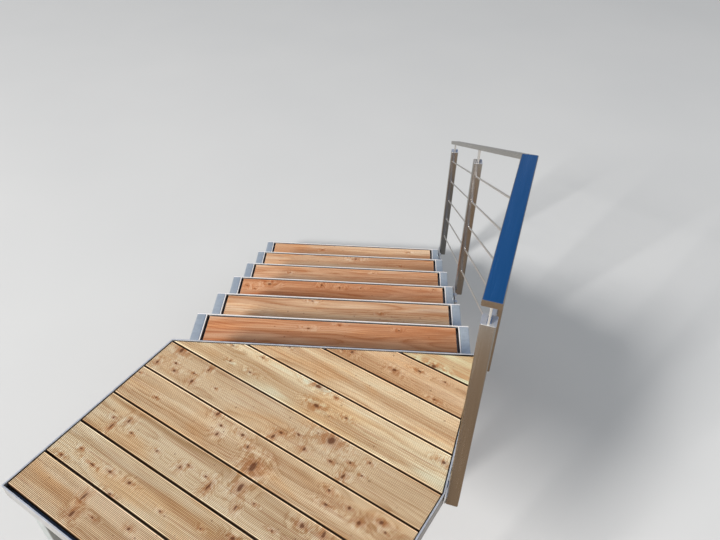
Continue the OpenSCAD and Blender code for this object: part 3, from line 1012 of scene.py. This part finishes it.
half_turn = LEVEL_TURN / 2
cut_side = compass(half_turn)[0] / math.cos(half_turn)
slope_up = np.array([0, math.sin(RAIL_SLOPE), math.cos(RAIL_SLOPE)])
mid_z = RAIL_H - RAIL_T / 2
end_middle = np.array([BEND_X, RAIL_END_Y, rail_z(RAIL_END_Y)]) - slope_up * RAIL_T / 2
level_start = (on_level(LEVEL_L, mid_z), LEVEL_SIDE, UP)
bend = (np.array([BEND_X, 0, mid_z]), cut_side, UP)
rail_run([level_start, bend], "level_handrail_tube", "handrail_level")
rail_run([bend, (end_middle, EAST, slope_up)], "sloped_handrail_tube", "handrail_sloped")
print("handrail slopes at", round(math.degrees(RAIL_SLOPE), 1), "degrees")

# %% [markdown]
# ## Posts
#
# Each post is 40 mm square tube, closed at the top. A flat tongue welded to it carries the
# handrail, and a flat plate on its inner face is bolted to the steel beside it through two
# spacers. Under the sloped handrail the top of the tongue follows the slope.

# %% Posts
SPACERS_AT, SPACER_R = (0.040, 0.095), 0.011
TONGUE_W, TONGUE_R, TONGUE_SEAT = POST - 0.004, 0.0008, 0.002
PLATE_R, CAP_RISE, CAP_SHARE, SUNK = 0.001, 0.0004, 0.99, 0.001
POST_EASE, CAP_EASE, SPACER_EASE = 0.0012, 0.0003, 0.0006
LANDING_W = 1.204
RAIL_CORNER = ALONG * LANDING_W - [HALF, 0]
EDGE_TURN = math.atan2(HALF - RAIL_CORNER[0], -RAIL_CORNER[1])


class Post:
    """A post's section has its middle at a point in plan, its side away from the stairs and its
    way along the railing. rail_under gives the rail's underside at a distance along the way. The
    plate points one way or the other, and a gap parts the post from the steel beside it."""

    def __init__(self, middle, side, way, foot, top, rail_under, plate_dir, gap):
        self.middle, self.side, self.way = middle, side, way
        self.foot, self.top, self.rail_under = foot, top, rail_under
        self.plate_dir, self.gap = plate_dir, gap

    def at(self, out=0.0, along=0.0, up=0.0):
        """A point so far out to its side, along its way and up."""
        return stair(self.middle + out * self.side + along * self.way + up * UP)

    def on_face(self, reach, out=0.0):
        """A point of its inner face, half way up the plate and at a reach along it."""
        return self.at(out - POST / 2, self.plate_dir * reach, self.foot + PLATE_H / 2)

    def tube(self):
        """The square tube."""
        square = rounded_rectangle(POST, POST, POST_R)
        return bar(self.at(up=self.foot), self.at(up=self.top), square, self.side, POST_EASE)

    def fittings(self):
        """Its cap, tongue, plate and spacers. The tongue's top follows the rail."""
        square = CAP_SHARE * rounded_rectangle(POST, POST, POST_R)
        ends = [self.at(up=self.top + rise) for rise in (-SUNK, CAP_RISE)]
        cap = bar(*ends, square, self.side, CAP_EASE)
        flat = rounded_rectangle(TONGUE_T, TONGUE_W, TONGUE_R)
        heights = [np.full(len(flat), self.top - TONGUE_SEAT), self.rail_under(flat[:, 1])]
        flat = lay(flat, self.at(), self.side, self.way)
        tongue = shell(flat + np.stack(heights)[..., None] * UP)
        ends = [self.on_face(reach - POST / 2, -PLATE_T / 2) for reach in (0, PLATE_L)]
        plate = bar(*ends, rounded_rectangle(PLATE_T, PLATE_H, PLATE_R), self.side)
        spacers = []
        for reach in SPACERS_AT:
            ends = [self.on_face(reach, -out) for out in (self.gap, PLATE_T - SUNK)]
            spacers.append(bar(*ends, circle(SPACER_R, 24), self.way, SPACER_EASE))
        return [cap, tongue, plate, *spacers]


def level_post(before, plate_dir):
    """A post on the level line. The landing's edge turns a little less than the railing, so the
    gap to it depends on the distance before the bend."""
    gap = RAIL_OFF * math.cos(LEVEL_TURN) - POST / 2 - before * math.sin(LEVEL_TURN - EDGE_TURN)
    return Post(on_level(before), LEVEL_SIDE, LEVEL_WAY, -POST_DROP, POST_H,
                lambda along: np.full(len(along), RAIL_H - RAIL_T), plate_dir, gap)


def sloped_post(y, treads):
    """A post beside the flight, so many treads down."""
    middle, foot = np.array([BEND_X, y, 0]), -treads * RISER - POST_DROP
    rail_drop = RAIL_T / math.cos(RAIL_SLOPE)
    return Post(middle, EAST, DOWN_FLIGHT, foot, POST_H + nosing_z(y),
                lambda along: rail_z(y + along) - rail_drop, -1, RAIL_OFF - POST / 2)


posts = {
    "upper": level_post(UPPER_AT, 1),
    "corner": level_post(CORNER_AT, -1),
    "middle": sloped_post(MIDDLE_Y, 3),
    "lower": sloped_post(LOWER_Y, TREADS),
}
for name, post in posts.items():
    make_piece(f"{name}_post_tube", [post.tube()], stainless, [f"post_{name}"])
    make_piece(f"{name}_post_fittings", post.fittings(), fittings, [f"post_{name}"])
print(len(posts), "posts")

# %% [markdown]
# ## Rods
#
# Five round rods run between the posts, level along the landing and then down the flight. They
# are seated in the posts, so each rod starts and ends a little inside one.

# %% Rods
SEAT, PAST_CORNER, ROD_EASE = 0.015, 0.005, 0.0005
ROD_END = POST / 2 - SEAT


def level_point(before, k):
    """A point of rod k on the level line, at a distance before the bend."""
    return on_level(before, ROD_FIRST + k * ROD_PITCH)


def sloped_point(y, k):
    """A point of rod k on the slope, at y down the flight."""
    return np.array([BEND_X, y, ROD_FIRST + k * ROD_PITCH + nosing_z(y)])


for word, point, side, ends in (
    ("level", level_point, LEVEL_SIDE, (UPPER_AT - ROD_END, CORNER_AT + ROD_END)),
    ("sloped", sloped_point, EAST, (PAST_CORNER - CORNER_AT, LOWER_Y - ROD_END)),
):
    rods = []
    for k in range(RODS):
        start, end = (stair(point(place, k)) for place in ends)
        rods.append(bar(start, end, circle(ROD, 20), side, ROD_EASE))
    make_piece(f"{word}_infill_rods", rods, rod_steel, [f"rods_{word}"])
print(RODS, "rods on each line")

# %% [markdown]
# ## Welds
#
# A weld is a round bead that the welder laid in small steps, so it looks like a stack of coins. It
# is a tube whose radius swells and shrinks with every step, carried along the joint. Round a rod
# or a tube the joint is a closed loop: the last ring lies on the first.

# %% Welds
WELD_STEP = 0.0026
TONGUE_BEAD, PLATE_BEAD, ROD_BEAD, MITRE_BEAD = 0.0019, 0.0020, 0.0014, 0.0014
TOE_BEAD, HEAD_BEAD, LEG_BEAD = 0.0024, 0.0018, 0.0026
PROUD, SLOPED_PROUD = 0.0006, 0.0008
LEVEL_COLLAR, SLOPED_COLLAR = ROD + 0.0007, ROD + 0.0005
FROM_CORNER, FROM_EDGE, FROM_POST = 0.004, 0.002, 0.0005
MITRE_SUNK, HEAD_SHORT, ON_STEEL = 0.0004, 0.003, 0.001


def bead(line, radius, turns=8):
    """A weld along a line of points. Its radius is radius * (0.9 + 0.18 |sin|) of the distance."""
    line = np.asarray(line, float)
    legs = np.linalg.norm(np.diff(line, axis=0), axis=1)
    far = np.concatenate([[0], np.cumsum(legs)])
    s = np.linspace(0, far[-1], max(6, int(far[-1] / WELD_STEP * 3)))
    centres = np.stack([np.interp(s, far, line[:, k]) for k in range(3)], -1)
    way = unit(np.gradient(centres, axis=0))
    side = unit(np.cross(way, np.where(np.abs(way[:, 2:]) > 0.9, EAST, UP)))
    swell = 0.9 + 0.18 * np.abs(np.sin(math.pi * s / WELD_STEP))
    ends = np.clip(np.minimum(s, far[-1] - s) / (radius * 1.5), 0.25, 1)
    section = circle(radius, turns) * (swell * ends)[:, None, None]
    return shell(carry(section, centres, side, np.cross(side, way)))


def loop(middle, side, up, width, height):
    """A closed rectangle of points for a bead round a tube's foot."""
    corners = np.array([(1, -1), (1, 1), (-1, 1), (-1, -1), (1, -1)]) * [width / 2, height / 2]
    return lay(corners, middle, side, up)


def collar(middle, side, up, radius):
    """A closed circle of points for a bead round a rod."""
    return lay(circle(radius, 24)[[*range(24), 0]], middle, side, up)


rail_welds = []
half = POST / 2
for post in posts.values():
    reach = np.linspace(FROM_CORNER - half, half - FROM_CORNER, 5)
    for out in (-TONGUE_T / 2 - PROUD, TONGUE_T / 2 + PROUD):
        edge = post.at(out) + reach[:, None] * post.way
        for height in (post.top + CAP_RISE, post.rail_under(reach) - PROUD):
            rail_welds.append(bead(edge + np.multiply.outer(height, UP), TONGUE_BEAD))
    inner = post.at(-half, post.plate_dir * (half + FROM_POST), post.foot)
    rail_welds.append(bead([inner + z * UP for z in (FROM_EDGE, PLATE_H - FROM_EDGE)], PLATE_BEAD))
leaning = UP / FALL_WAY[1]
for k in range(RODS):
    rings = [collar(level_point(before, k), LEVEL_SIDE, UP, LEVEL_COLLAR)
             for before in (UPPER_AT - half - PROUD, CORNER_AT + half + PROUD)]
    off = half + SLOPED_PROUD
    rings += [collar(sloped_point(y, k), 1.1 * EAST, 1.05 * leaning, SLOPED_COLLAR)
              for y in (MIDDLE_Y - off, MIDDLE_Y + off, LOWER_Y - off)]
    rail_welds += [bead(stair(ring), ROD_BEAD, 6) for ring in rings]
make_piece("railing_welds", rail_welds, weld_stainless)

zinc_welds = []
line = stringer_line()
for sign in (-1, 1):
    for face in (HALF - MITRE_SUNK, HALF - STRINGER_W + MITRE_SUNK):
        x = sign * face
        for before, corner, after in zip(line, line[1:], line[2:]):
            diagonal = unit(corner - before) - unit(after - corner)
            ends = corner + np.array([[-1], [1]]) * diagonal * (STRINGER_D / 2 - FROM_CORNER)
            zinc_welds.append(bead(stair(np.column_stack([[x, x], ends])), MITRE_BEAD, 6))
    x, reach = sign * (HALF - STRINGER_W / 2), STRINGER_W / 2 - HEAD_SHORT
    foot = np.array([x, line[-1][0], -DECK + FOOT_T + ON_STEEL])
    toe = loop(foot, EAST, DOWN_FLIGHT, STRINGER_W, STRINGER_D)
    head = [[x + end * reach, 0, -BAR_H - ON_STEEL] for end in (-1, 1)]
    zinc_welds += [bead(stair(toe), TOE_BEAD), bead(stair(head), HEAD_BEAD)]
for middle, way in leg_middles.values():
    foot = middle + (FOOT_T + ON_STEEL) * UP
    zinc_welds.append(bead(loop(foot, way, np.cross(UP, way), LEG, LEG), LEG_BEAD))
make_piece("stringer_and_leg_welds", zinc_welds, weld_zinc)
print(len(rail_welds), "welds on the railing and", len(zinc_welds), "on the steelwork")

# %% [markdown]
# ## Bolts
#
# A bolt head is a hexagon whose corners are turned off to a cone. As a surface it has two
# parameters, the angle and the level: the radius is the hexagon's at that angle, but no more than
# the cone's at that level. A washer lies under it, and the anchors have a nut and a stud end.

# %% Bolts
BOLT, ANCHOR, ANCHOR_OUT = 0.010, 0.012, 0.045
TOE_HOLE_X, TOE_HOLE_Y = 0.028, 0.025
WASHER_T = 0.2
HEAD_LEVELS = np.array([0, 0.62, 0.72, 0.82, 0.92, 1.0])
CONE = np.array([1.2, 1.2, 1.13, 1.06, 0.99, 0.92])
ASKEW = np.array([0.31, 0.22, 0.93])


def hexagon_head(base, axis, flats, height, turn):
    """A nut or bolt head on base, pointing along the unit vector axis. Its radius is that of the
    hexagon, flats / 2 / cos of the angle from a flat's middle, but no more than the cone's."""
    side = unit(np.cross(axis, ASKEW))
    a = np.arange(48) * math.pi / 24
    hexagon = flats / 2 / np.cos((a + turn) % (math.pi / 3) - math.pi / 6)
    radius = np.minimum(hexagon, flats / 2 * CONE[:, None])
    centres = base + height * HEAD_LEVELS[:, None] * axis
    return shell(carry(radius[..., None] * circle(1, 48), centres, [side], [np.cross(axis, side)]))


def disc(base, axis, radius, height, ease=0.0004):
    """A washer or the end of a stud, as a short round bar."""
    return bar(base, base + axis * height, circle(radius, 24), np.cross(axis, ASKEW), ease)


def bolt(base, axis, size, wide=1.6, high=0.64):
    """A washer and a bolt head. All their widths and heights are in sizes of the bolt."""
    washer = disc(base, axis, size, size * WASHER_T)
    base = base + axis * size * WASHER_T
    return [washer, hexagon_head(base, axis, size * wide, size * high, rng.uniform(0, 1))]


def anchor(base):
    """A washer, a nut and the end of the stud over a foot plate."""
    return [*bolt(base, UP, ANCHOR, 1.55, 0.8), disc(base, UP, ANCHOR / 2, ANCHOR * 1.5, 0.0012)]


bolts = []
for post in posts.values():
    for reach in SPACERS_AT:
        bolts += bolt(post.on_face(reach), post.side, BOLT)
for sign in (-1, 1):
    for y in (TOE_HOLE_Y, TOE_L - TOE_HOLE_Y):
        x = sign * (HALF - TOE_W + TOE_HOLE_X)
        bolts += anchor(stair([x, TREADS * GOING - BAR - TOE_L + y, -DECK + FOOT_T]))
for middle, way in leg_middles.values():
    other = np.cross(UP, way)
    for a in (-1, 1):
        for b in (-1, 1):
            bolts += anchor(middle + ANCHOR_OUT * (a * way + b * other) + FOOT_T * UP)
make_piece("bolts_and_anchors", bolts, bolt_steel)
print(len(bolts), "parts of bolts")

# %% [markdown]
# ## Screws
#
# The boards are screwed from below, so no head shows on their faces. Under each bearer of a tread
# and under each joist a pan head shows where a board crosses. There are many, so each is a low
# dome of a few faces: a quarter circle turned about its axis.

# %% Screws
SCREW_R, SCREW_H = 0.0045, 0.0028


def pan_head(base):
    """A low dome that hangs under base. Its ring at angle a is SCREW_R cos a in radius and
    SCREW_H sin a below the base."""
    a = np.linspace(0, math.pi / 2 * 0.96, 4)[:, None]
    rings = (SCREW_R * np.cos(a))[..., None] * circle(1, 12)
    return shell(carry(rings, base - SCREW_H * np.sin(a) * UP, [EAST], [DOWN_FLIGHT]))


def middle_of(node, way):
    """Where the middle of a CAD piece lies along a direction in plan."""
    reach = plan_corners(node)[0] @ way
    return reach.min() / 2 + reach.max() / 2


BEARERS, SCREW_ROWS, LEDGE_T = (-0.535, 0.0, 0.535), (0.035, 0.110), 0.006
CLEAR_OF_END = 0.04
screws = []
for i in range(1, TREADS + 1):
    low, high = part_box(f"tread_boards_{i}")
    rows = [low.y + v for v in SCREW_ROWS] + [high.y - v for v in reversed(SCREW_ROWS)]
    under = low.z - LEDGE_T
    screws += [pan_head(np.array([HERE[0] + x, y, under])) for x in BEARERS for y in rows]
for i in range(1, 4):
    u = middle_of(f"joist_{i}", ALONG)
    for k in range(1, len(DECK_SHADES) + 1):
        v = middle_of(f"deck_board_{k}", ACROSS)
        corners = plan_corners(f"deck_board_{k}")[0]
        start, end = ends_at(np.stack([corners @ ALONG, corners @ ACROSS], -1), np.array([v]))
        if start[0] + CLEAR_OF_END < u < end[0] - CLEAR_OF_END:
            screws.append(pan_head(np.array([*(u * ALONG + v * ACROSS), DECK - BAR_H])))
make_piece("board_screws", screws, bolt_steel)
print(len(screws), "screws")

# %% [markdown]
# ## Floor and light
#
# The stairs stand on a plain pale floor. A large lamp from behind and to the left is the main
# light, where the sun stood, and a wide one from the right fills the shade. Light from all round
# is neutral. What the steel mirrors is another matter: polished metal takes its look from what
# lies round it. So a glossy ray sees a sky that is pale at the horizon and blue overhead, and a
# grey floor with a brown patch by the house, as the ground was there.

# %% Floor
FLOOR_HALF, FLOOR_DROP = 30.0, 0.0005
HOUSE_GROUND = HERE[:2] + [0.1, -1.9]
PALE, PALER = (0.56, 0.565, 0.57), (0.61, 0.61, 0.61)
BROWN_GROUND, GREY_GROUND = (0.285, 0.202, 0.132), (0.42, 0.415, 0.40)
floor_material, tree, shader = new_material("pale floor")
pale = blend(noise(position(tree), 0.8), PALE, PALER)
from_house = (position(tree) + (*(-HOUSE_GROUND), 0.0)).maths("LENGTH")
mirrored = blend(ramp(from_house, 1.6, 3.6), BROWN_GROUND, GREY_GROUND)
glossy_ray = make_node(tree, "LightPath", "Is Glossy Ray")
feed(shader["Base Color"], blend(glossy_ray, pale, mirrored))
feed(shader["Roughness"], 0.9)
feed(shader["Specular IOR Level"], 0.1)
corners = FLOOR_HALF * np.array([[-1, -1, 0], [1, -1, 0], [1, 1, 0], [-1, 1, 0]])
corners[:, 2] = -FLOOR_DROP
mesh = bpy.data.meshes.new("floor")
mesh.from_pydata(corners, [], [[0, 1, 2, 3]])
mesh.materials.append(floor_material)
floor = add_object("floor", mesh)
print("floor", 2 * FLOOR_HALF, "m wide")


# %% Lights
AIM = np.array([0, 0, 0.8])
HORIZON, OVERHEAD = (0.50, 0.49, 0.48), (0.013, 0.163, 0.55)
ALL_ROUND, BACKDROP = (0.41, 0.425, 0.44), (0.80, 0.81, 0.82)


def area_lamp(name, azimuth, elevation, distance, size, power, colour):
    """A square lamp that shines at the middle of the stairs. It stands at a compass bearing, in
    degrees from -Y, and at an elevation."""
    turn, rise = math.radians(azimuth), math.radians(elevation)
    out = math.sin(rise) * UP - math.cos(rise) * compass(-turn)[1]
    lamp = set_up(bpy.data.lights.new(name, "AREA"), size=size, energy=power, color=colour)
    set_up(add_object(name, lamp), location=AIM + distance * out,
           rotation_euler=(math.pi / 2 - rise, 0, turn))


area_lamp("key", -44, 31, 24.0, 4.6, 8500, (1.0, 0.975, 0.94))
area_lamp("fill", 75, 38, 10.0, 6.0, 180, (0.95, 0.975, 1.0))

world = bpy.data.worlds.new("soft sky")
bpy.context.scene.world = world
world.use_nodes = True
tree = world.node_tree
_, _, height = channels(position(tree, "Generated"))
mirrored = blend(ramp(height, 0.10, 0.54), HORIZON, OVERHEAD)
camera_ray = make_node(tree, "LightPath", "Is Camera Ray")
glossy_ray = make_node(tree, "LightPath", "Is Glossy Ray")
around = blend(camera_ray, ALL_ROUND, BACKDROP)
background = tree.nodes["Background"].inputs
feed(background["Color"], blend(glossy_ray, around, mirrored))
bpy.context.scene.view_settings.view_transform = "Standard"

# %% [markdown]
# ## Camera
#
# The photograph was taken from the house, over the landing and down the flight. Its place and turn
# were fitted to the corners of the treads and the landing. The focal length is in pixels of a
# picture 720 wide, so the lens is that over 720 of the sensor's width.

# %% Camera
CAMERA_PLACE = np.array([0.2006, -1.7576, 1.9767])
FOCAL_PX, PICTURE_W, SENSOR = 675.4, 720, 36
yaw, pitch, roll = -0.0398, 0.7285, 0.0202
level, ahead = compass(yaw)
ahead = math.cos(pitch) * ahead - math.sin(pitch) * UP
above = np.cross(level, ahead)
right = level * math.cos(roll) + above * math.sin(roll)
upward = -level * math.sin(roll) + above * math.cos(roll)
data = bpy.data.cameras.new("camera")
set_up(data, sensor_width=SENSOR, lens=FOCAL_PX / PICTURE_W * SENSOR)
camera = add_object("camera", data)
turned = np.eye(4)
turned[:3, :3] = np.stack([right, upward, -ahead], -1)
turned[:3, 3] = CAMERA_PLACE + HERE
camera.matrix_world = Matrix(turned.tolist())
bpy.context.scene.camera = camera
